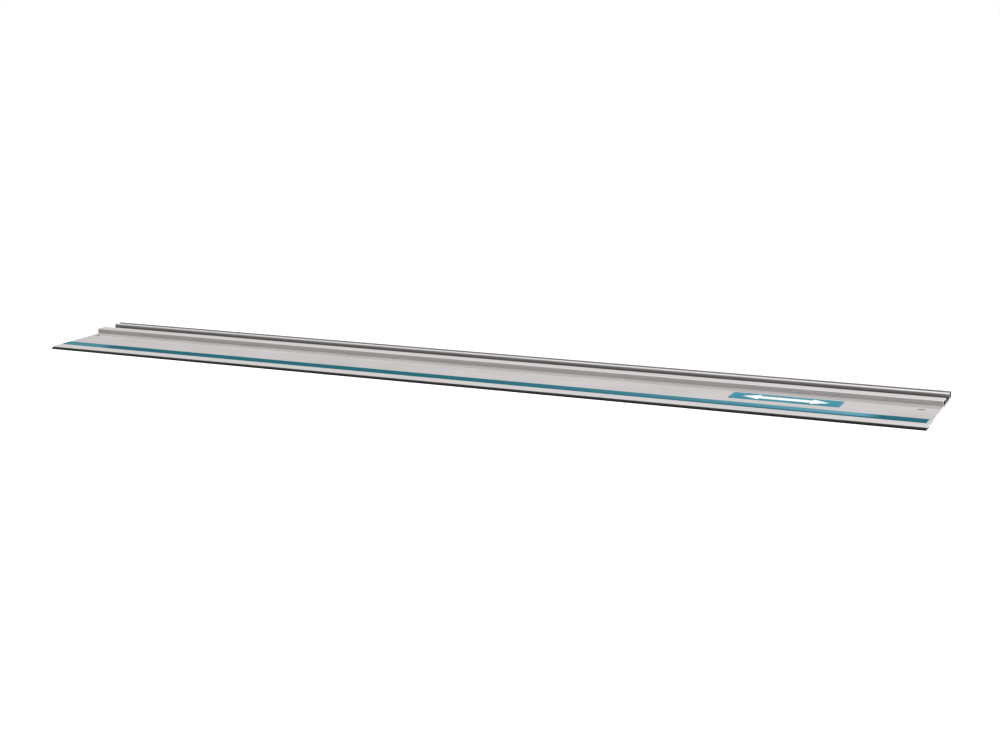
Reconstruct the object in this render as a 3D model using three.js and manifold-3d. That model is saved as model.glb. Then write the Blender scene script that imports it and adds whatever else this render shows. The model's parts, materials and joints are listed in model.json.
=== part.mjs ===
// Guide rail for a track plunge saw: one aluminium extrusion that carries two
// glide strips, a splinter guard, two grip strips and a label.
//
// Millimetres, +Z up. X runs along the rail, Y from the cutting edge (-) to the
// back edge (+). Z = 0 is the surface that the rail lies on, and the origin is
// the middle of the rail's footprint there.
//
// The cross-section is drawn in (u, z): u is measured back from the front edge
// of the aluminium lip, and z is the height above the surface.

import * as THREE from 'three';
import { mergeVertices } from 'three/addons/utils/BufferGeometryUtils.js';
import Module from 'manifold-3d';

const wasm = await Module();
wasm.setup();

// ---- driving dimensions ----------------------------------------------------

const LENGTH = 1400;
const OVERALL_WIDTH = 180;
const GUARD_OVERHANG = 4;                 // rubber in front of the aluminium lip
const PROFILE_WIDTH = OVERALL_WIDTH - GUARD_OVERHANG;
const LIP_Y = GUARD_OVERHANG - OVERALL_WIDTH / 2;   // Y of u = 0

const DECK_TOP = 3.8;
const DECK_THICKNESS = 2.0;
const DECK_UNDERSIDE = DECK_TOP - DECK_THICKNESS;
const ADHESIVE = 0.1;                     // film under every stuck-on strip

const LIP_THICKNESS = 1.5;                // thinner edge, over the splinter guard
const LIP_UNDERSIDE = DECK_TOP - LIP_THICKNESS;
const LIP_DEPTH = 13.5;
const GUARD_CLEARANCE = 0.5;              // behind the guard, to the deck's step

const GUIDE_RIB = {
  front: 114.6, back: 134.2, height: 8.0, wall: 1.8, roof: 1.6, foot: 0.6, frontEdge: 1.0, backEdge: 1.8,
};
const CLAMP_SLOT_MOUTH = 9.0;

const REAR_RIB = {
  front: 160.0, back: PROFILE_WIDTH, height: 8.4, wall: 1.5, lip: 1.6, foot: 0.6, shoulder: 2.4,
};
const STOP_SLOT_MOUTH = 7.5;

const SCRIBE_LINE = { u: 103.0, width: 1.3, depth: 0.7 };

const STRIP_RECESS = 0.3;                 // depth of the seat of a stuck-on strip
const SEAT_CLEARANCE = 0.3;               // each side of a strip in its seat
const GLIDE_THICKNESS = 0.5;
const FRONT_GLIDE = { front: 20.0, back: 42.0, rightSetback: 5.0 };
const REAR_GLIDE = { front: 136.2, back: 158.4, rightSetback: 1.0 };
const FRONT_GRIP = { front: 27.0, back: 42.0 };
const REAR_GRIP = { front: 139.5, back: 154.5 };
const STRIP_SETBACK = 1.0;                // strips stop this far from an end without a setback of its own

const HANGING_HOLES = [
  { end: 1, fromEnd: 25, u: 89, radius: 6.0 },
  { end: -1, fromEnd: 12, u: 97.5, radius: 4.5 },
];
const HOLE_SEGMENTS = 40;

const LABEL = { length: 154, width: 34, fromRightEnd: 126.5, front: 61, thickness: 0.2, corner: 1.5 };

const EDGE_RADIUS = 0.3;                  // every small outside corner
const ARC_STEPS = 4;

// ---- helpers ---------------------------------------------------------------

// Closed shape through corners [u, z, radius], each rounded by an arc.
function roundedShape(corners, arcSteps = ARC_STEPS) {
  const points = [];
  corners.forEach(([u, z, radius], index) => {
    const corner = new THREE.Vector2(u, z);
    if (!radius) {
      points.push(corner);
      return;
    }
    const [beforeU, beforeZ] = corners[(index + corners.length - 1) % corners.length];
    const [afterU, afterZ] = corners[(index + 1) % corners.length];
    const back = new THREE.Vector2(beforeU, beforeZ).sub(corner).normalize();
    const ahead = new THREE.Vector2(afterU, afterZ).sub(corner).normalize();
    const halfAngle = Math.acos(back.dot(ahead)) / 2;
    const tangentLength = radius / Math.tan(halfAngle);
    const toCentre = back.clone().add(ahead).normalize().multiplyScalar(radius / Math.sin(halfAngle));
    const centre = corner.clone().add(toCentre);
    const from = corner.clone().addScaledVector(back, tangentLength).sub(centre);
    const turn = Math.sign(back.cross(ahead)) * (2 * halfAngle - Math.PI);
    for (let step = 0; step <= arcSteps; step += 1) {
      const spoke = from.clone().rotateAround(new THREE.Vector2(), turn * step / arcSteps);
      points.push(spoke.add(centre));
    }
  });
  return new THREE.Shape(points);
}

// Extrudes a (u, z) shape along X, centred on X = 0, and places u = 0 at the lip.
function extrudeAlongRail(shape, length) {
  const geometry = new THREE.ExtrudeGeometry(shape, { depth: length, bevelEnabled: false });
  const alongX = new THREE.Vector3(1, 0, 0);
  const alongY = new THREE.Vector3(0, 1, 0);
  const alongZ = new THREE.Vector3(0, 0, 1);
  geometry.applyMatrix4(new THREE.Matrix4().makeBasis(alongY, alongZ, alongX));
  return geometry.translate(-length / 2, LIP_Y, 0);
}

function rectangle(front, back, bottom, top, radius = 0) {
  return [[front, bottom, radius], [back, bottom, radius], [back, top, radius], [front, top, radius]];
}

function toSolid(geometry) {
  const bare = geometry.clone();
  bare.deleteAttribute('normal');
  bare.deleteAttribute('uv');
  const merged = mergeVertices(bare);
  return new wasm.Manifold(new wasm.Mesh({
    numProp: 3,
    vertProperties: new Float32Array(merged.attributes.position.array),
    triVerts: new Uint32Array(merged.index.array),
  }));
}

function toGeometry(solid) {
  const { vertProperties, triVerts } = solid.getMesh();
  const geometry = new THREE.BufferGeometry();
  geometry.setAttribute('position', new THREE.BufferAttribute(vertProperties, 3));
  geometry.setIndex(new THREE.BufferAttribute(triVerts, 1));
  geometry.computeVertexNormals();
  return geometry;
}

function namedMesh(name, geometry, material) {
  const mesh = new THREE.Mesh(geometry, material);
  mesh.name = name;
  return mesh;
}

// ---- materials -------------------------------------------------------------

const anodised = () => new THREE.MeshStandardMaterial({ color: 0xc4c3c3, roughness: 0.35, metalness: 1 });
const tealPlastic = () => new THREE.MeshStandardMaterial({ color: 0x266170, roughness: 0.3, metalness: 0 });
const greyPlastic = () => new THREE.MeshStandardMaterial({ color: 0x353537, roughness: 0.4, metalness: 0 });
const blackRubber = () => new THREE.MeshStandardMaterial({ color: 0x1b1b1c, roughness: 0.75, metalness: 0 });
const gripFoam = () => new THREE.MeshStandardMaterial({ color: 0x2c2d30, roughness: 0.95, metalness: 0 });
const labelFilm = () => new THREE.MeshStandardMaterial({ color: 0x2d8fa3, roughness: 0.4, metalness: 0 });

// ---- the aluminium extrusion -------------------------------------------------

// Seat for a stuck-on strip: four corners that step `depth` into a flat face.
function seat(strip, face, depth) {
  const front = strip.front - SEAT_CLEARANCE;
  const back = strip.back + SEAT_CLEARANCE;
  return [[front, face], [front, face + depth], [back, face + depth], [back, face]];
}

// Underside T-slot inside the guide rib, from its front mouth edge to its back one.
function clampSlot() {
  const middle = (GUIDE_RIB.front + GUIDE_RIB.back) / 2;
  const mouthFront = middle - CLAMP_SLOT_MOUTH / 2;
  const mouthBack = middle + CLAMP_SLOT_MOUTH / 2;
  const innerFront = GUIDE_RIB.front + GUIDE_RIB.wall;
  const innerBack = GUIDE_RIB.back - GUIDE_RIB.wall;
  const roof = DECK_TOP + GUIDE_RIB.height - GUIDE_RIB.roof;
  return [
    [mouthFront, DECK_UNDERSIDE, EDGE_RADIUS], [mouthFront, DECK_TOP, EDGE_RADIUS],
    [innerFront, DECK_TOP], [innerFront, roof, 0.8],
    [innerBack, roof, 0.8], [innerBack, DECK_TOP],
    [mouthBack, DECK_TOP, EDGE_RADIUS], [mouthBack, DECK_UNDERSIDE, EDGE_RADIUS],
  ];
}

// Rear rib with its T-slot open upwards, from the foot of its back face round to
// the foot of its front face.
function rearRib() {
  const middle = (REAR_RIB.front + REAR_RIB.back) / 2;
  const mouthFront = middle - STOP_SLOT_MOUTH / 2;
  const mouthBack = middle + STOP_SLOT_MOUTH / 2;
  const innerFront = REAR_RIB.front + REAR_RIB.wall;
  const innerBack = REAR_RIB.back - REAR_RIB.wall;
  const top = DECK_TOP + REAR_RIB.height;
  const lipUnderside = top - REAR_RIB.lip;
  return [
    [REAR_RIB.back, DECK_UNDERSIDE, 0.6], [REAR_RIB.back, top, 1.0],
    [mouthBack, top, EDGE_RADIUS], [mouthBack, lipUnderside, EDGE_RADIUS],
    [innerBack, lipUnderside], [innerBack, DECK_TOP, 0.5],
    [innerFront, DECK_TOP, 0.5], [innerFront, lipUnderside],
    [mouthFront, lipUnderside, EDGE_RADIUS], [mouthFront, top, EDGE_RADIUS],
    [REAR_RIB.front, top, REAR_RIB.shoulder], [REAR_RIB.front, DECK_TOP, REAR_RIB.foot],
  ];
}

// Outline of the whole section, counter-clockwise from the lip's lower front corner.
function railSection() {
  const ribTop = DECK_TOP + GUIDE_RIB.height;
  const scribeFront = SCRIBE_LINE.u - SCRIBE_LINE.width / 2;
  const scribeBack = SCRIBE_LINE.u + SCRIBE_LINE.width / 2;
  const scribeFloor = DECK_TOP - SCRIBE_LINE.depth;
  const topSeatFromBack = (strip) => seat(strip, DECK_TOP, -STRIP_RECESS).reverse();
  return roundedShape([
    [0, LIP_UNDERSIDE, EDGE_RADIUS], [LIP_DEPTH, LIP_UNDERSIDE], [LIP_DEPTH, DECK_UNDERSIDE, EDGE_RADIUS],
    ...seat(FRONT_GRIP, DECK_UNDERSIDE, STRIP_RECESS),
    ...clampSlot(),
    ...seat(REAR_GRIP, DECK_UNDERSIDE, STRIP_RECESS),
    ...rearRib(),
    ...topSeatFromBack(REAR_GLIDE),
    [GUIDE_RIB.back, DECK_TOP, GUIDE_RIB.foot], [GUIDE_RIB.back, ribTop, GUIDE_RIB.backEdge],
    [GUIDE_RIB.front, ribTop, GUIDE_RIB.frontEdge], [GUIDE_RIB.front, DECK_TOP, GUIDE_RIB.foot],
    [scribeBack, DECK_TOP], [scribeBack, scribeFloor], [scribeFront, scribeFloor], [scribeFront, DECK_TOP],
    ...topSeatFromBack(FRONT_GLIDE),
    [0, DECK_TOP, 0.6],
  ]);
}

function drillFor(hole) {
  const drillLength = 4 * DECK_THICKNESS;
  const drill = new THREE.CylinderGeometry(hole.radius, hole.radius, drillLength, HOLE_SEGMENTS);
  drill.rotateX(Math.PI / 2);
  drill.translate(hole.end * (LENGTH / 2 - hole.fromEnd), LIP_Y + hole.u, DECK_TOP - DECK_THICKNESS / 2);
  return toSolid(drill);
}

function railExtrusion() {
  let rail = toSolid(extrudeAlongRail(railSection(), LENGTH));
  for (const hole of HANGING_HOLES) {
    rail = rail.subtract(drillFor(hole));
  }
  return namedMesh('rail_extrusion', toGeometry(rail), anodised());
}

// ---- stuck-on strips ---------------------------------------------------------

function glideStrip(name, strip, material) {
  const bottom = DECK_TOP - STRIP_RECESS + ADHESIVE;
  const outline = rectangle(strip.front, strip.back, bottom, bottom + GLIDE_THICKNESS);
  const geometry = extrudeAlongRail(roundedShape(outline), LENGTH - STRIP_SETBACK - strip.rightSetback);
  geometry.translate((STRIP_SETBACK - strip.rightSetback) / 2, 0, 0);
  return namedMesh(name, geometry, material);
}

function gripStrip(name, strip) {
  const top = DECK_UNDERSIDE + STRIP_RECESS - ADHESIVE;
  const outline = rectangle(strip.front, strip.back, 0, top, EDGE_RADIUS);
  const geometry = extrudeAlongRail(roundedShape(outline), LENGTH - 2 * STRIP_SETBACK);
  return namedMesh(name, geometry, gripFoam());
}

function splinterGuard() {
  const top = LIP_UNDERSIDE - ADHESIVE;
  const back = LIP_DEPTH - GUARD_CLEARANCE;
  const outline = [
    [-GUARD_OVERHANG, 0, EDGE_RADIUS], [back, 0, EDGE_RADIUS],
    [back, top, EDGE_RADIUS], [-GUARD_OVERHANG, top, 0.6],
  ];
  return namedMesh('splinter_guard', extrudeAlongRail(roundedShape(outline), LENGTH), blackRubber());
}

function labelPanel() {
  const outline = roundedShape([
    [0, 0, LABEL.corner], [LABEL.length, 0, LABEL.corner],
    [LABEL.length, LABEL.width, LABEL.corner], [0, LABEL.width, LABEL.corner],
  ]);
  const geometry = new THREE.ExtrudeGeometry(outline, { depth: LABEL.thickness, bevelEnabled: false });
  const mesh = namedMesh('label_panel', geometry, labelFilm());
  mesh.position.x = LENGTH / 2 - LABEL.fromRightEnd - LABEL.length;
  mesh.position.y = LIP_Y + LABEL.front;
  mesh.position.z = DECK_TOP + ADHESIVE;
  return mesh;
}

// ---- assembly ----------------------------------------------------------------

const guideRail = new THREE.Group();
guideRail.name = 'guide_rail';
guideRail.add(railExtrusion());
guideRail.add(splinterGuard());
guideRail.add(glideStrip('front_glide_strip', FRONT_GLIDE, tealPlastic()));
guideRail.add(glideStrip('rear_glide_strip', REAR_GLIDE, greyPlastic()));
guideRail.add(gripStrip('front_grip_strip', FRONT_GRIP));
guideRail.add(gripStrip('rear_grip_strip', REAR_GRIP));
guideRail.add(labelPanel());

export default guideRail;
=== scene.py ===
"""Looks of a guide rail for a track plunge saw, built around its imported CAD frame.

Metres, +Z up, X along the rail, Y from the cutting edge to the back edge.
"""
import json
import math

import bmesh
import bpy
from mathutils import Matrix, Vector

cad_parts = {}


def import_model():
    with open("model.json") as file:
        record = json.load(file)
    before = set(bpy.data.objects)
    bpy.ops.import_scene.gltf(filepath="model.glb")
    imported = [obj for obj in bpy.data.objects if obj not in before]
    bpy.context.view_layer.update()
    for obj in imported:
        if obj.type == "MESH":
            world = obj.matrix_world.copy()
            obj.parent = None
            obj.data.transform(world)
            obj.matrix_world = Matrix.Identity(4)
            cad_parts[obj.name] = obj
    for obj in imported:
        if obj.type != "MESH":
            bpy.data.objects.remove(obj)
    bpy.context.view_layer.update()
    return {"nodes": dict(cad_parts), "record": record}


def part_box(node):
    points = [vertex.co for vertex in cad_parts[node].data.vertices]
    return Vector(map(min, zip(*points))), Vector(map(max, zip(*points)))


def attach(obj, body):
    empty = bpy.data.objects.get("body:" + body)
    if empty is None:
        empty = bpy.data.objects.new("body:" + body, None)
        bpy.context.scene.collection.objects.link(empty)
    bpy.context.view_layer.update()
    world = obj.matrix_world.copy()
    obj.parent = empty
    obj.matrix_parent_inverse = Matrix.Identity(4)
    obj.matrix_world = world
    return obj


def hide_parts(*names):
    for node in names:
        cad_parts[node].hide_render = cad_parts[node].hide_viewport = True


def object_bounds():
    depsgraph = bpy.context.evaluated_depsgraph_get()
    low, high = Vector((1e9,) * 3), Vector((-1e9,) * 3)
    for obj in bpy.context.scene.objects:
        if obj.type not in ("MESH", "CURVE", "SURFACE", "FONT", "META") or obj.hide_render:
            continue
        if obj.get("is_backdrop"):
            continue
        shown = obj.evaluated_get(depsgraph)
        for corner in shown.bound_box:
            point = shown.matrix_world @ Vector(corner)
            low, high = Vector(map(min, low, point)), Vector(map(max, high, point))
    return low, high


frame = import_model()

MM = 0.001
SAME_PLACE = 1e-6               # coordinates closer than this are equal


# ---- mesh helpers ------------------------------------------------------------

def opening(name):
    """Lowest and highest corners of an opening that the record states."""
    stated = next(o for o in frame["record"]["physics"]["openings"] if o["name"] == name)
    return [Vector(corner) for corner in stated["box_m"]]


def cad_end_outline(node):
    """Outline of a CAD node's +X end face: (y, z) points, counter-clockwise seen from +X."""
    mesh = frame["nodes"][node].data
    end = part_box(node)[1].x

    def place(index):
        return tuple(round(c, 7) for c in mesh.vertices[index].co.yz)

    edges = set()
    for face in mesh.polygons:
        if all(abs(mesh.vertices[i].co.x - end) < SAME_PLACE for i in face.vertices):
            corners = [place(i) for i in face.vertices]
            edges.update(zip(corners, corners[1:] + corners[:1]))
    following = {a: b for a, b in edges if (b, a) not in edges}
    outline = [min(following)]
    while following[outline[-1]] != outline[0]:
        outline.append(following[outline[-1]])
    return outline


def inset(outline, distance):
    """The outline moved into the material by a distance, with mitred corners."""
    moved = []
    for index, point in enumerate(outline):
        here = Vector(point)
        before = (here - Vector(outline[index - 1])).normalized()
        after = (Vector(outline[(index + 1) % len(outline)]) - here).normalized()
        inward = Vector((-before.y, before.x)), Vector((-after.y, after.x))
        shift = (inward[0] + inward[1]) * (distance / (1 + inward[0].dot(inward[1])))
        moved.append(tuple(here + shift))
    return moved


def rounded(corners, steps=5):
    """Outline through corners (y, z, radius), each rounded by an arc."""
    outline = []
    for index, (y, z, radius) in enumerate(corners):
        corner = Vector((y, z))
        if radius == 0:
            outline.append(tuple(corner))
            continue
        back = (Vector(corners[index - 1][:2]) - corner).normalized()
        ahead = (Vector(corners[(index + 1) % len(corners)][:2]) - corner).normalized()
        half = math.acos(max(-1.0, min(1.0, back.dot(ahead)))) / 2
        centre = corner + (back + ahead).normalized() * (radius / math.sin(half))
        spoke = corner + back * (radius / math.tan(half)) - centre
        turn = math.copysign(math.pi - 2 * half, -back.cross(ahead))
        for step in range(steps + 1):
            outline.append(tuple(centre + Matrix.Rotation(turn * step / steps, 2) @ spoke))
    return outline


def stations(start, end, spacing):
    """Places along X from start to end, no further apart than the spacing."""
    count = max(1, math.ceil((end - start) / spacing))
    return [start + (end - start) * i / count for i in range(count + 1)]


def loft(name, rings, cap_material=0):
    """Closed mesh through rings (x, outline) of equal point counts, with a flat cap on each end."""
    bm = bmesh.new()
    loops = [[bm.verts.new((x, y, z)) for y, z in outline] for x, outline in rings]
    for near, far in zip(loops, loops[1:]):
        for j in range(len(near)):
            k = (j + 1) % len(near)
            bm.faces.new((near[j], near[k], far[k], far[j]))
    caps = [bm.faces.new(reversed(loops[0])), bm.faces.new(loops[-1])]
    for cap in caps:
        cap.normal_update()
        cap.material_index = cap_material
    bmesh.ops.triangulate(bm, faces=caps, ngon_method="EAR_CLIP")
    return to_object(name, bm)


def to_object(name, bm):
    mesh = bpy.data.meshes.new(name)
    bm.to_mesh(mesh)
    bm.free()
    piece = bpy.data.objects.new(name, mesh)
    bpy.context.scene.collection.objects.link(piece)
    return piece


def shade(piece, angle=math.radians(30)):
    """Smooth shading, sharp above the angle, with wide flat faces kept flat."""
    piece.data.shade_smooth()
    piece.data.set_sharp_from_angle(angle=angle)
    weighted = piece.modifiers.new("flat faces stay flat", "WEIGHTED_NORMAL")
    weighted.keep_sharp = True


def stand_in(piece, node, slot, *materials):
    """Gives the piece its materials and puts it in the place of a CAD node."""
    for material in materials:
        piece.data.materials.append(material)
    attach(piece, "root")
    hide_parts(node)
    return piece


# ---- material helpers ----------------------------------------------------------

def linear(red, green, blue):
    """A linear colour from 0-255 display values."""
    def channel(value):
        value /= 255
        return value / 12.92 if value <= 0.04045 else ((value + 0.055) / 1.055) ** 2.4
    return channel(red), channel(green), channel(blue), 1.0


class Nodes:
    """Short calls that add nodes to one shader tree."""

    def __init__(self, tree, coordinates):
        self.tree = tree
        self.coordinates = tree.nodes.new("ShaderNodeTexCoord").outputs[coordinates]

    def put(self, value, socket):
        """Links a socket, or sets a constant."""
        if isinstance(value, bpy.types.NodeSocket):
            self.tree.links.new(value, socket)
        else:
            socket.default_value = value

    def node(self, kind, inputs, **settings):
        node = self.tree.nodes.new(kind)
        for setting, value in settings.items():
            setattr(node, setting, value)
        for socket, value in inputs.items():
            self.put(value, node.inputs[socket])
        return node

    def along(self, axis):
        """One of the coordinates X, Y and Z."""
        return self.node("ShaderNodeSeparateXYZ", {0: self.coordinates}).outputs[axis]

    def spread(self, value, low, high, to_low=0.0, to_high=1.0, **settings):
        """The value's range from low to high, spread over another range and clamped to it."""
        inputs = {"Value": value, "From Min": low, "From Max": high, "To Min": to_low, "To Max": to_high}
        return self.node("ShaderNodeMapRange", inputs, **settings).outputs["Result"]

    def math(self, operation, first, second):
        return self.node("ShaderNodeMath", {0: first, 1: second}, operation=operation).outputs["Value"]

    def sum(self, first, second):
        return self.math("ADD", first, second)

    def product(self, first, *others):
        for other in others:
            first = self.math("MULTIPLY", first, other)
        return first


class Shader(Nodes):
    """A Principled material and short calls for the nodes that feed it."""

    def __init__(self, name, **constants):
        self.material = bpy.data.materials.new(name)
        self.material.use_nodes = True
        super().__init__(self.material.node_tree, "Object")
        self.principled = self.tree.nodes["Principled BSDF"]
        for socket, value in constants.items():
            self.principled.inputs[socket.replace("_", " ")].default_value = value

    def placed(self, scale, rotation=(0, 0, 0), location=(0, 0, 0)):
        """Object coordinates with the scale's number of features per metre on each axis."""
        inputs = {"Vector": self.coordinates, "Scale": scale, "Rotation": rotation, "Location": location}
        return self.node("ShaderNodeMapping", inputs).outputs["Vector"]

    def noise(self, scale, detail=2.0, roughness=0.5, rotation=(0, 0, 0)):
        inputs = {"Vector": self.placed(scale, rotation), "Scale": 1.0}
        inputs.update({"Detail": detail, "Roughness": roughness})
        return self.node("ShaderNodeTexNoise", inputs).outputs["Fac"]

    def cells(self, scale):
        """Distance from the middle of each cell, in cells."""
        inputs = {"Vector": self.placed(scale), "Scale": 1.0}
        return self.node("ShaderNodeTexVoronoi", inputs).outputs["Distance"]

    def between(self, axis, low, high, margin):
        """1 from low to high along one object axis, and 0 past the margin on either side."""
        above = self.spread(self.along(axis), low - margin, low - margin / 2)
        below = self.spread(self.along(axis), high + margin, high + margin / 2)
        return self.product(above, below)

    def blend(self, factor, first, second):
        mix = self.node("ShaderNodeMix", {}, data_type="RGBA")
        for index, value in ((0, factor), (6, first), (7, second)):
            self.put(value, mix.inputs[index])
        return mix.outputs[2]

    def bump(self, height, depth, strength=1.0, base=None):
        inputs = {"Height": height, "Distance": depth, "Strength": strength}
        if base is not None:
            inputs["Normal"] = base
        return self.node("ShaderNodeBump", inputs).outputs["Normal"]

    def edges(self, radius):
        """1 on sharp edges, 0 away from them."""
        soft = self.node("ShaderNodeBevel", {"Radius": radius}, samples=4).outputs["Normal"]
        hard = self.node("ShaderNodeNewGeometry", {}).outputs["Normal"]
        facing = self.node("ShaderNodeVectorMath", {0: soft, 1: hard}, operation="DOT_PRODUCT")
        return self.spread(facing.outputs["Value"], 0.99, 0.80)

    def finish(self, color=None, roughness=None, normal=None):
        for socket, value in (("Base Color", color), ("Roughness", roughness), ("Normal", normal)):
            if value is not None:
                self.tree.links.new(value, self.principled.inputs[socket])
        return self.material


# ---- materials -------------------------------------------------------------------

ALONG = (1.2, 900.0, 900.0)     # features drawn out along the rail, per metre


def painted_highlight_and_shade(s, color):
    """Brightens the lip and the ribs' tops with a painted highlight.

    Darkens the channel between the ribs and the insides of the slots with painted shade.
    """
    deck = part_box("label_panel")[0].z
    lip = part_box("front_glide_strip")[0].y
    # painted highlight: the lip and the metal from a little above the deck up, ribs' tops included, are
    # lightened
    on_ribs = s.spread(s.along("Z"), deck + 3 * MM, deck + 6 * MM)
    on_lip = s.spread(s.along("Y"), lip, lip - 1 * MM)
    color = s.blend(s.math("MAXIMUM", on_ribs, on_lip), color, linear(209, 206, 205))
    front, back = [corner.y for corner in opening("channel_between_ribs")]
    # painted shade: the channel between the ribs is darkened low down, near the deck
    near_floor = s.spread(s.along("Z"), deck + 6 * MM, deck + 1 * MM, 0.0, 0.8)
    painted_channel_shade = s.product(s.between("Y", front, back, 1 * MM), near_floor)
    color = s.blend(painted_channel_shade, color, linear(96, 95, 95))
    # painted shade inside the clamp and stop slot chambers
    for name in ("clamp_slot_chamber", "stop_slot_chamber"):
        low, high = opening(name)
        across = s.between("Y", low.y, high.y, 0.6 * MM)
        upright = s.between("Z", low.z, high.z, 0.5 * MM)
        color = s.blend(s.product(across, upright), color, linear(70, 70, 71))
    return color


def anodised_aluminium():
    """Satin clear anodising over fine drawn lines, with faint die bands and hairline scuffs."""
    s = Shader("anodised_aluminium", Metallic=1.0)
    lines = s.noise(ALONG, detail=3.0, roughness=0.7)
    bands = s.noise((0.25, 160.0, 160.0), detail=2.0)
    clouds = s.noise((7.0, 16.0, 16.0), detail=3.0)
    scuffs = s.noise((38.0, 1500.0, 1500.0), detail=1.0, rotation=(0, 0, 0.12))
    scuffs = s.spread(scuffs, 0.70, 0.76)
    tone = s.sum(s.product(bands, 0.55), s.product(clouds, 0.45))
    tone = s.sum(tone, s.product(lines, 0.3))
    color = s.blend(s.spread(tone, 0.35, 0.95), linear(191, 188, 187), linear(209, 206, 205))
    # painted highlight on the lip and ribs, painted shade low in the channel and inside the slots
    color = painted_highlight_and_shade(s, color)
    color = s.blend(s.product(scuffs, 0.35), color, linear(226, 226, 228))
    color = s.blend(s.product(s.edges(0.35 * MM), 0.5), color, linear(226, 227, 230))
    rough = s.spread(s.sum(lines, clouds), 0.7, 1.3, 0.58, 0.70)
    rough = s.sum(rough, s.product(scuffs, 0.10))
    normal = s.bump(bands, 0.03 * MM, 0.6)
    normal = s.bump(lines, 0.012 * MM, 0.7, normal)
    return s.finish(color, rough, normal)


def sawn_aluminium():
    """Bare end grain of the cut: fine arcs left by a saw blade."""
    s = Shader("sawn_aluminium", Metallic=1.0)
    centre = s.placed((1.0, 1.0, 1.0), location=(0.0, 0.05, 0.16))
    inputs = {"Vector": centre, "Scale": 420.0, "Distortion": 1.6, "Detail": 2.0, "Detail Scale": 3.0}
    arcs = s.node("ShaderNodeTexWave", inputs, wave_type="RINGS", rings_direction="X").outputs["Fac"]
    smear = s.noise((300.0, 300.0, 60.0), detail=3.0)
    grain = s.spread(s.sum(arcs, smear), 0.5, 1.6)
    color = s.blend(grain, linear(224, 224, 226), linear(250, 250, 251))
    rough = s.spread(smear, 0.3, 0.7, 0.28, 0.46)
    return s.finish(color, rough, s.bump(arcs, 0.02 * MM, 0.8))


def glide_plastic():
    """Low-friction teal tape, with a lighter painted reflection along it.

    The painted reflection grows towards the right, leaves the front edge bare and stops short of the
    right end.
    A fainter painted reflection lies in a patch at the left end.
    """
    s = Shader("glide_plastic", IOR=1.5, Specular_IOR_Level=0.02)
    low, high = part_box("front_glide_strip")
    lines = s.noise((2.5, 1400.0, 1400.0), detail=3.0, roughness=0.6)
    streaks = s.noise((1.6, 260.0, 260.0), detail=2.0)
    mottle = s.noise((90.0, 90.0, 90.0), detail=4.0)
    color = s.blend(s.spread(streaks, 0.3, 0.7), linear(8, 84, 98), linear(16, 92, 106))
    # painted reflection: a lighter band over the rear of the strip, growing towards the right
    across = s.spread(s.along("Y"), low.y + 3 * MM, low.y + 8 * MM)
    along = s.math("POWER", s.spread(s.along("X"), high.x - 0.80, high.x - 0.10), 2.0)
    stopped = s.spread(s.along("X"), high.x - 0.060, high.x - 0.084)
    painted_reflection = s.product(across, s.product(along, stopped))
    # painted reflection: a fainter lighter patch at the left end
    painted_reflection_left = s.spread(s.along("X"), low.x + 0.095, low.x + 0.075, 0.0, 0.5)
    painted_reflection = s.math("MAXIMUM", painted_reflection, painted_reflection_left)
    color = s.blend(painted_reflection, color, linear(83, 142, 158))
    color = s.blend(s.product(s.spread(lines, 0.62, 0.8), 0.2), color, linear(64, 130, 146))
    color = s.blend(s.product(s.edges(0.15 * MM), 0.3), color, linear(70, 140, 156))
    rough = s.spread(s.sum(streaks, mottle), 0.7, 1.3, 0.28, 0.40)
    return s.finish(color, rough, s.bump(lines, 0.006 * MM, 0.6))


def channel_glide_plastic():
    """Low-friction charcoal tape, with fine drawn lines."""
    s = Shader("channel_glide_plastic", IOR=1.5, Specular_IOR_Level=0.12)
    lines = s.noise((2.5, 1400.0, 1400.0), detail=3.0, roughness=0.6)
    mottle = s.noise((90.0, 90.0, 90.0), detail=4.0)
    color = s.blend(s.spread(mottle, 0.3, 0.7), linear(42, 42, 44), linear(56, 56, 58))
    color = s.blend(s.product(s.spread(lines, 0.6, 0.8), 0.4), color, linear(84, 84, 86))
    color = s.blend(s.product(s.edges(0.15 * MM), 0.4), color, linear(104, 104, 106))
    rough = s.spread(s.sum(lines, mottle), 0.7, 1.3, 0.36, 0.50)
    return s.finish(color, rough, s.bump(lines, 0.006 * MM, 0.6))


def guard_rubber():
    """Black extruded rubber, with a faint bloom and a fine pebble."""
    s = Shader("guard_rubber", IOR=1.5, Specular_IOR_Level=0.2)
    pebble = s.noise((2600.0, 2600.0, 2600.0), detail=2.0)
    draw = s.noise((3.0, 1600.0, 1600.0), detail=2.0)
    bloom = s.noise((24.0, 60.0, 60.0), detail=4.0, roughness=0.6)
    color = s.blend(s.spread(bloom, 0.35, 0.75), linear(12, 12, 13), linear(24, 24, 25))
    color = s.blend(s.product(s.edges(0.25 * MM), 0.25), color, linear(50, 50, 52))
    rough = s.spread(s.sum(bloom, draw), 0.7, 1.3, 0.52, 0.72)
    normal = s.bump(draw, 0.01 * MM, 0.7)
    return s.finish(color, rough, s.bump(pebble, 0.012 * MM, 0.5, normal))


def grip_foam():
    """Closed-cell foam: small skinned cells with darker walls between them."""
    s = Shader("grip_foam", IOR=1.45, Specular_IOR_Level=0.25)
    cells = s.cells((1900.0, 1900.0, 1900.0))
    large = s.cells((620.0, 620.0, 620.0))
    tint = s.noise((30.0, 60.0, 60.0), detail=3.0)
    color = s.blend(s.spread(cells, 0.0, 0.9), linear(64, 65, 69), linear(30, 31, 34))
    color = s.blend(s.spread(tint, 0.3, 0.7, 0.0, 0.45), color, linear(52, 53, 56))
    rough = s.spread(cells, 0.0, 0.9, 0.82, 0.98)
    normal = s.bump(large, 0.10 * MM, 0.5)
    return s.finish(color, rough, s.bump(cells, 0.05 * MM, 0.8, normal))


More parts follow.
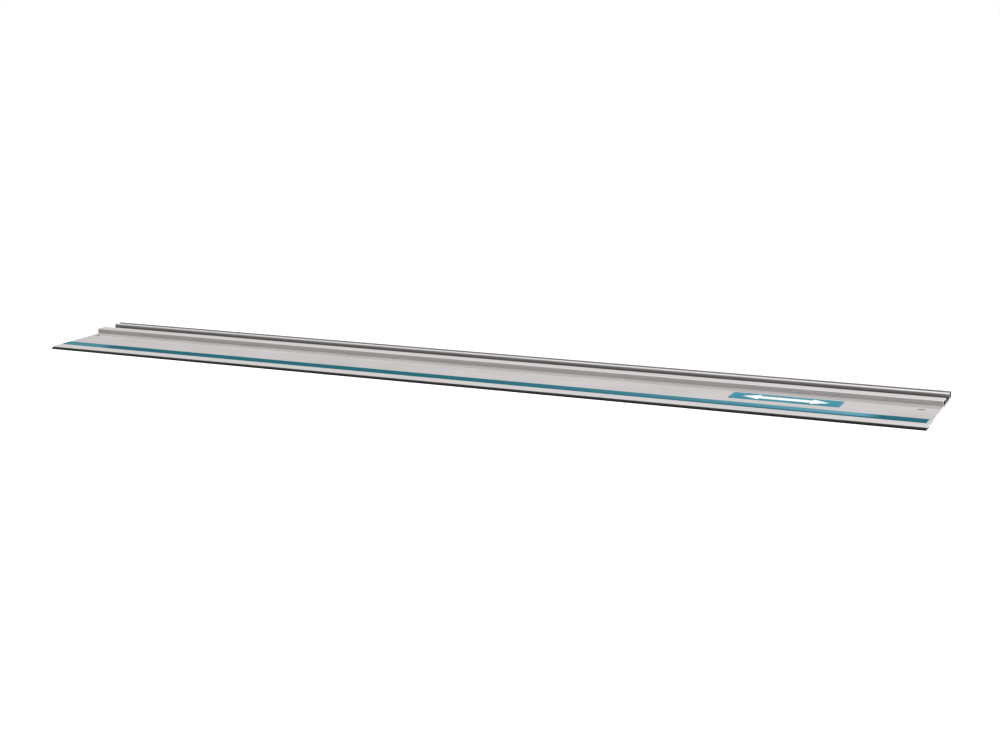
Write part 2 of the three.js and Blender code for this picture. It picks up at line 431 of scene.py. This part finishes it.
def label_film():
    """Printed teal film with a slight orange peel."""
    s = Shader("label_film", IOR=1.5, Specular_IOR_Level=0.1)
    peel = s.noise((420.0, 420.0, 420.0), detail=2.0)
    ink = s.noise((2600.0, 2600.0, 2600.0), detail=1.0)
    wash = s.noise((22.0, 40.0, 40.0), detail=3.0)
    tint = s.spread(s.sum(ink, wash), 0.7, 1.3)
    color = s.blend(tint, linear(28, 120, 140), linear(42, 133, 152))
    rough = s.spread(wash, 0.3, 0.7, 0.24, 0.34)
    return s.finish(color, rough, s.bump(peel, 0.02 * MM, 0.35))


def label_ink():
    """White ink, a little uneven, on the film."""
    s = Shader("label_ink", IOR=1.5, Coat_Weight=0.3, Coat_Roughness=0.1)
    grain = s.noise((2000.0, 2000.0, 2000.0), detail=2.0)
    wash = s.noise((30.0, 60.0, 60.0), detail=3.0)
    tint = s.spread(s.sum(grain, wash), 0.7, 1.3)
    color = s.blend(tint, linear(232, 240, 242), linear(250, 252, 252))
    rough = s.spread(wash, 0.3, 0.7, 0.3, 0.4)
    return s.finish(color, rough, s.bump(grain, 0.01 * MM, 0.4))


# ---- the pieces --------------------------------------------------------------------

END_CHAMFER = 0.2 * MM
RING_SPACING = 0.05             # longest face along the rail
HOLE_CHAMFER = 0.35 * MM
HOLE_SIDES = 64
DRILL_OVERRUN = 1.0 * MM        # past each mouth of a hole


def drill(name, centre, radius, bottom, top):
    """A round cutter that leaves a small chamfer at both mouths of the hole."""
    flared = radius + HOLE_CHAMFER + DRILL_OVERRUN
    profile = [
        (bottom - DRILL_OVERRUN, flared), (bottom + HOLE_CHAMFER, radius),
        (top - HOLE_CHAMFER, radius), (top + DRILL_OVERRUN, flared),
    ]
    directions = []
    for i in range(HOLE_SIDES):
        angle = 2 * math.pi * i / HOLE_SIDES
        directions.append((math.cos(angle), math.sin(angle)))
    bm = bmesh.new()
    rings = []
    for z, r in profile:
        rings.append([bm.verts.new((centre.x + r * x, centre.y + r * y, z)) for x, y in directions])
    for low, high in zip(rings, rings[1:]):
        for i in range(HOLE_SIDES):
            k = (i + 1) % HOLE_SIDES
            bm.faces.new((low[i], low[k], high[k], high[i]))
    bm.faces.new(reversed(rings[0]))
    bm.faces.new(rings[-1])
    return to_object(name, bm)


def cad_holes(node):
    """(centre, radius, lowest z, highest z) of the hole near each end of a CAD node."""
    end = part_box(node)[1].x
    inner = [v.co for v in frame["nodes"][node].data.vertices if abs(v.co.x) < end - MM]
    holes = []
    for side in (-1, 1):
        rim = [co for co in inner if co.x * side > 0]
        low = Vector([min(co[axis] for co in rim) for axis in range(3)])
        high = Vector([max(co[axis] for co in rim) for axis in range(3)])
        holes.append(((low + high) / 2, (high.y - low.y) / 2, low.z, high.z))
    return holes


def cut(piece, cutters):
    """Applies each cutter to the piece's mesh and deletes the cutters."""
    for cutter in cutters:
        boolean = piece.modifiers.new("cut", "BOOLEAN")
        boolean.operation = "DIFFERENCE"
        boolean.solver = "EXACT"
        boolean.object = cutter
    depsgraph = bpy.context.evaluated_depsgraph_get()
    mesh = bpy.data.meshes.new_from_object(piece.evaluated_get(depsgraph))
    piece.modifiers.clear()
    piece.data = mesh
    for cutter in cutters:
        bpy.data.objects.remove(cutter)


def rail():
    """The extrusion on its CAD outline, with chamfered cut ends and chamfered holes."""
    node = "rail_extrusion"
    low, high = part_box(node)
    outline = cad_end_outline(node)
    face = inset(outline, END_CHAMFER)
    inner = stations(low.x + END_CHAMFER, high.x - END_CHAMFER, RING_SPACING)
    rings = [(low.x, face)] + [(x, outline) for x in inner] + [(high.x, face)]
    piece = loft("guide_rail", rings, cap_material=1)
    piece.data.materials.append(anodised_aluminium())
    piece.data.materials.append(sawn_aluminium())
    cut(piece, [drill("drill", *hole) for hole in cad_holes(node)])
    shade(piece)
    return stand_in(piece, node, "anodised_aluminium")


def strip_rings(outline, low, high, corner, steps=6):
    """Rings along a strip whose four corners are rounded in plan."""
    middle = (low.y + high.y) / 2
    half = (high.y - low.y) / 2

    def narrowed(width):
        return [(middle + (y - middle) * width / half, z) for y, z in outline]

    turns = [math.pi / 2 * (1 - step / steps) for step in range(steps + 1)]
    start = [(corner * (1 - math.sin(a)), narrowed(half - corner * (1 - math.cos(a)))) for a in turns]
    straight = stations(low.x + corner, high.x - corner, RING_SPACING)[1:-1]
    rings = [(low.x + x, ring) for x, ring in start]
    rings += [(x, outline) for x in straight]
    rings += [(high.x - x, ring) for x, ring in reversed(start)]
    return rings


def glide_strip(node, slot, material):
    """A tape with a faint crown, soft edges and corners rounded in plan."""
    low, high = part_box(node)
    crown = 0.06 * MM
    edge = 0.12 * MM
    edge_share = 0.03               # share of the half width that the soft edge takes
    steps = 18
    half = (high.y - low.y) / 2
    middle = (high.y + low.y) / 2
    outline = [(low.y, low.z), (high.y, low.z)]
    for step in range(steps + 1):
        across = 1 - 2 * step / steps
        drop = crown * across ** 2 + edge * max(0.0, abs(across) - 1 + edge_share) / edge_share
        outline.append((middle + half * across, high.z - drop))
    piece = loft(node + "_tape", strip_rings(outline, low, high, 1.2 * MM))
    shade(piece, math.radians(40))
    return stand_in(piece, node, slot, material)


def grip_strip(node):
    """A foam bar with soft edges and corners rounded in plan."""
    low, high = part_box(node)
    lower = 0.5 * MM
    upper = 0.15 * MM
    outline = rounded([
        (low.y, low.z, lower), (high.y, low.z, lower),
        (high.y, high.z, upper), (low.y, high.z, upper),
    ])
    piece = loft(node + "_foam", strip_rings(outline, low, high, 1.5 * MM))
    shade(piece)
    return stand_in(piece, node, "grip_foam", grip_foam())


def splinter_guard():
    """Rubber strip: soft nose in front of the lip, and drawn grooves underneath."""
    node = "splinter_guard"
    low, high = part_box(node)
    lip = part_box("rail_extrusion")[0].y
    groove_count = 4
    first_groove = lip + 1.6 * MM
    groove_width = 0.9 * MM
    groove_pitch = 2.4 * MM
    groove_floor = low.z + 0.35 * MM
    corners = [(low.y, low.z, 0.3 * MM)]
    for index in range(groove_count):
        centre = first_groove + index * groove_pitch
        front = centre - groove_width / 2
        back = centre + groove_width / 2
        corners += [(front, low.z, 0.08 * MM), (front, groove_floor, 0.1 * MM)]
        corners += [(back, groove_floor, 0.1 * MM), (back, low.z, 0.08 * MM)]
    corners += [
        (high.y, low.z, 0.2 * MM), (high.y, high.z, 0.2 * MM),
        (lip - 0.3 * MM, high.z, 0.1 * MM), (lip - 0.5 * MM, high.z - 0.2 * MM, 0.1 * MM),
        (low.y, high.z - 0.25 * MM, 0.55 * MM),
    ]
    outline = rounded(corners, 4)
    rings = [(x, outline) for x in stations(low.x, high.x, RING_SPACING)]
    piece = loft("splinter_guard_rubber", rings)
    shade(piece)
    return stand_in(piece, node, "guard_rubber", guard_rubber())


def plate(bm, outline, bottom, top, material):
    """Adds a flat plate with the plan outline (x, y), counter-clockwise from above."""
    lower = [bm.verts.new((x, y, bottom)) for x, y in outline]
    upper = [bm.verts.new((x, y, top)) for x, y in outline]
    faces = [bm.faces.new(reversed(lower)), bm.faces.new(upper)]
    for i in range(len(outline)):
        k = (i + 1) % len(outline)
        faces.append(bm.faces.new((lower[i], lower[k], upper[k], upper[i])))
    for face in faces:
        face.material_index = material


def label():
    """A film panel printed with a plain double-headed travel arrow."""
    node = "label_panel"
    low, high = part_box(node)
    middle = (low + high) / 2
    ink = 0.02 * MM
    film_top = high.z - ink
    corner = 1.5 * MM
    tip = 60 * MM
    neck = tip - 24 * MM
    shaft = 6.5 * MM
    barb = 12.5 * MM
    bm = bmesh.new()
    film = [
        (low.x, low.y, corner), (high.x, low.y, corner),
        (high.x, high.y, corner), (low.x, high.y, corner),
    ]
    plate(bm, rounded(film), low.z, film_top, 0)
    half_arrow = [(neck, -shaft), (neck, -barb), (tip, 0), (neck, barb), (neck, shaft)]
    arrow = half_arrow + [(-x, -y) for x, y in half_arrow]
    plate(bm, [(middle.x + x, middle.y + y) for x, y in arrow], film_top, high.z, 1)
    piece = to_object("label_film_panel", bm)
    shade(piece)
    return stand_in(piece, node, "label_film", label_film(), label_ink())


rail()
splinter_guard()
glide_strip("front_glide_strip", "glide_plastic", glide_plastic())
glide_strip("rear_glide_strip", "channel_glide_plastic", channel_glide_plastic())
grip_strip("front_grip_strip")
grip_strip("rear_grip_strip")
label()


# ---- studio --------------------------------------------------------------------------

LENS = 57.5
SENSOR_WIDTH = 36.0
AZIMUTH = math.radians(25.23)   # looking left of straight across the rail
PITCH = math.radians(-12.860)
ROLL = math.radians(-0.89)
EYE_RIGHT = 0.3447              # past the rail's right end
EYE_FRONT = 1.9919              # in front of its cutting edge
EYE_HEIGHT = 0.5260


def camera():
    """Long view from the front right, a little above the rail."""
    low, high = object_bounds()
    data = bpy.data.cameras.new("camera")
    data.lens = LENS
    data.sensor_width = SENSOR_WIDTH
    data.clip_end = 200.0
    eye = bpy.data.objects.new("camera", data)
    heading = Matrix.Rotation(AZIMUTH, 4, "Z")
    tilt = Matrix.Rotation(math.pi / 2 + PITCH, 4, "X")
    lean = Matrix.Rotation(ROLL, 4, "Z")
    place = Vector((high.x + EYE_RIGHT, low.y - EYE_FRONT, EYE_HEIGHT))
    eye.matrix_world = Matrix.Translation(place) @ (heading @ tilt @ lean)
    bpy.context.scene.collection.objects.link(eye)
    bpy.context.scene.camera = eye


# Strength of the sky, and the share of it on the right, low in front and low behind.
SKY = 0.90
RIGHT_SHARE = 1.52
FRONT_SHARE = 0.15
BEHIND_SHARE = 0.10
SUN = 1.3
SUN_ANGLE = math.radians(70)
SUN_TILT = (math.radians(12), math.radians(8), 0)
FLOOR_GLOW = 0.35


def sun():
    """A broad overhead light, which lights the floor evenly as far as it is seen."""
    data = bpy.data.lights.new("sun", "SUN")
    data.energy = SUN
    data.angle = SUN_ANGLE
    lamp = bpy.data.objects.new("sun", data)
    lamp.rotation_euler = SUN_TILT
    bpy.context.scene.collection.objects.link(lamp)


def studio_floor():
    """Pale matte floor with a faint grain, which glows a little so that it meets the white sky."""
    s = Shader("studio_floor", Emission_Color=(1.0, 1.0, 1.0, 1.0), Emission_Strength=FLOOR_GLOW)
    grain = s.noise((4.0, 4.0, 4.0), detail=3.0)
    color = s.blend(grain, (0.86, 0.86, 0.86, 1.0), (0.89, 0.89, 0.89, 1.0))
    rough = s.spread(grain, 0.3, 0.7, 0.7, 0.8)
    return s.finish(color, rough)


def floor():
    bm = bmesh.new()
    bmesh.ops.create_grid(bm, x_segments=4, y_segments=4, size=60.0)
    piece = to_object("studio_floor", bm)
    piece.data.materials.append(studio_floor())
    piece.visible_glossy = False
    piece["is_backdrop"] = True


def sky_light(sky):
    """Strength of the sky's light by direction: more on the right, less low in front and low behind."""

    def ramp(axis, low, high):
        """0 at one end of a range of the direction's X, Y or Z, and 1 at the other."""
        return sky.spread(sky.along(axis), low, high, interpolation_type="SMOOTHSTEP")

    regions = (
        (sky.product(ramp("Y", -0.05, -0.7), ramp("Z", 0.85, 0.35)), FRONT_SHARE),
        (sky.product(ramp("Y", 0.05, 0.5), ramp("Z", 0.60, 0.15), ramp("X", 0.25, 0.0)), BEHIND_SHARE),
        (ramp("X", -0.45, 0.2), RIGHT_SHARE),
    )
    return sky.product(*[sky.spread(region, 0.0, 1.0, 1.0, share) for region, share in regions], SKY)


def world():
    """White where the camera looks past the floor, and the sky's light everywhere else."""
    studio = bpy.data.worlds.new("studio")
    studio.use_nodes = True
    sky = Nodes(studio.node_tree, "Generated")
    seen = sky.node("ShaderNodeLightPath", {}).outputs["Is Camera Ray"]
    strength = sky.node("ShaderNodeMix", {0: seen, 2: sky_light(sky), 3: 1.0}).outputs[0]
    background = studio.node_tree.nodes["Background"]
    sky.put(strength, background.inputs["Strength"])
    sky.put((1.0, 1.0, 1.0, 1.0), background.inputs["Color"])
    bpy.context.scene.world = studio


camera()
floor()
world()
sun()
bpy.context.scene.view_settings.view_transform = "Standard"
